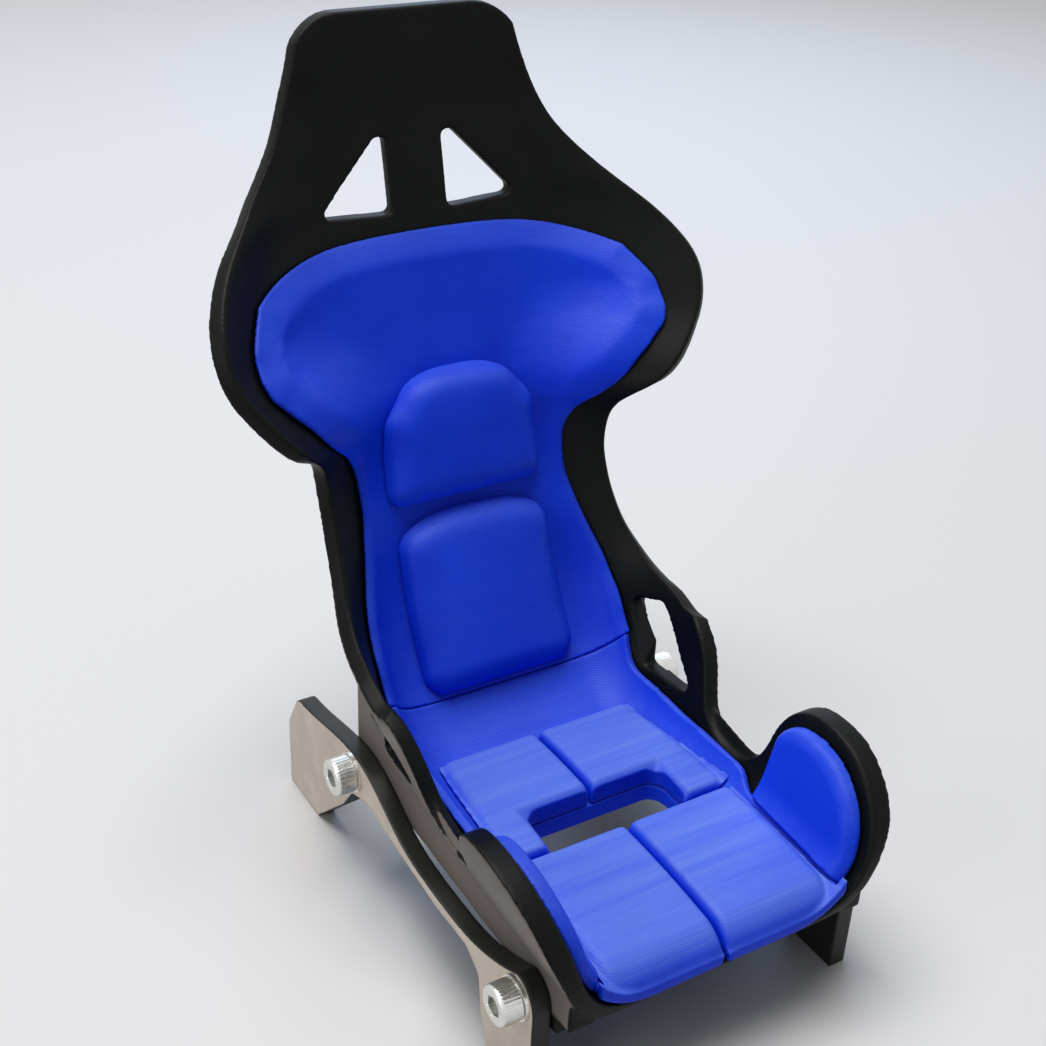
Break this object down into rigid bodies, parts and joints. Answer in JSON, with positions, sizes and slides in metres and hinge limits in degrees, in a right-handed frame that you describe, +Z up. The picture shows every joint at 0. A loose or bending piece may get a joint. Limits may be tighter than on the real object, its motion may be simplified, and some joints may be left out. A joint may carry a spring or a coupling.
{
  "type": "racing seat",
  "caption": "Fixed-back racing bucket seat, printed scale model: black shell with harness holes, blue raised pads, side brackets held by socket cap screws.",
  "frame": {"origin": "on the floor under the middle of the overall box, between the four feet of the side brackets", "axes": "+Z up, -Y the way the seat faces, +X to the right in a view from the front of the seat (the sitter's left)"},
  "size_m": [0.0766, 0.0913, 0.115],
  "materials": {
    "black_plastic": "satin printed plastic with fine layer lines",
    "blue_plastic": "silky printed plastic with fine layer lines",
    "zinc_steel": "bright zinc plated"
  },
  "bodies": {
    "root": {"seat_shell": "black_plastic", "back_pad": "blue_plastic", "upper_lumbar_pad": "blue_plastic", "lower_lumbar_pad": "blue_plastic", "seat_lining": "blue_plastic", "rear_seat_pad_right": "blue_plastic", "rear_seat_pad_left": "blue_plastic", "front_seat_pad_right": "blue_plastic", "front_seat_pad_left": "blue_plastic", "thigh_pad_right": "blue_plastic", "thigh_pad_left": "blue_plastic", "side_bracket_right": "black_plastic", "side_bracket_left": "black_plastic", "rear_cap_screw_right": "zinc_steel", "rear_cap_screw_left": "zinc_steel", "rear_washer_right": "zinc_steel", "rear_washer_left": "zinc_steel", "rear_nut_right": "zinc_steel", "rear_nut_left": "zinc_steel", "front_cap_screw_right": "zinc_steel", "front_cap_screw_left": "zinc_steel", "front_washer_right": "zinc_steel", "front_washer_left": "zinc_steel", "front_nut_right": "zinc_steel", "front_nut_left": "zinc_steel"}
  },
  "joints": []
}
